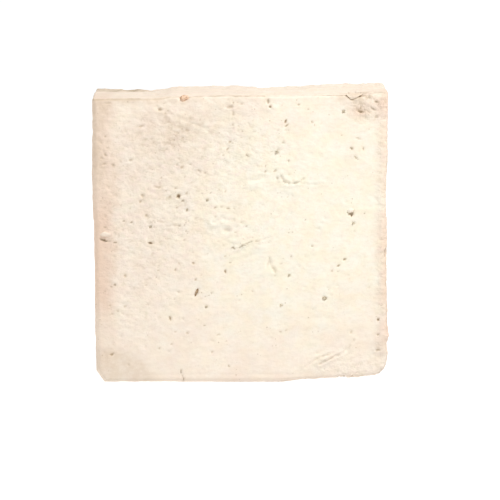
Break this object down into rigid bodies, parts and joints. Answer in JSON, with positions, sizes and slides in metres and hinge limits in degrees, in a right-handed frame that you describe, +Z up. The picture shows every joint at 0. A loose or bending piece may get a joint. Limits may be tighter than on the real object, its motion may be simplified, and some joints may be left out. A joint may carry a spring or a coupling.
{
  "type": "gymnastics chalk block",
  "caption": "Square block of pressed white gym chalk with worn edges, pits, cracks and specks, rubbed on the hands for grip.",
  "frame": {"origin": "middle of the block's footprint, on the surface it stands on", "axes": "+X to the right along the broad front face, +Y from the front face to the back face, the thin way, +Z up; the front face looks along -Y"},
  "size_m": [0.051, 0.0261, 0.05],
  "materials": {
    "chalk": "dry, matt and powdery, cream white with pinkish edges and brown pits",
    "hard_chalk": "dry, matt and denser than the block",
    "brown_fibre": "dry brown fibre, dusted with chalk",
    "rust": "rust-brown, matt and crumbly",
    "grit": "brown, matt and rough"
  },
  "bodies": {
    "root": {"chalk_cake": "chalk", "edge_flake": "chalk", "middle_nodule": "hard_chalk", "edge_nodule": "hard_chalk", "brown_splinter": "brown_fibre", "rust_fragment": "rust", "grit_grains": "grit"}
  },
  "joints": []
}
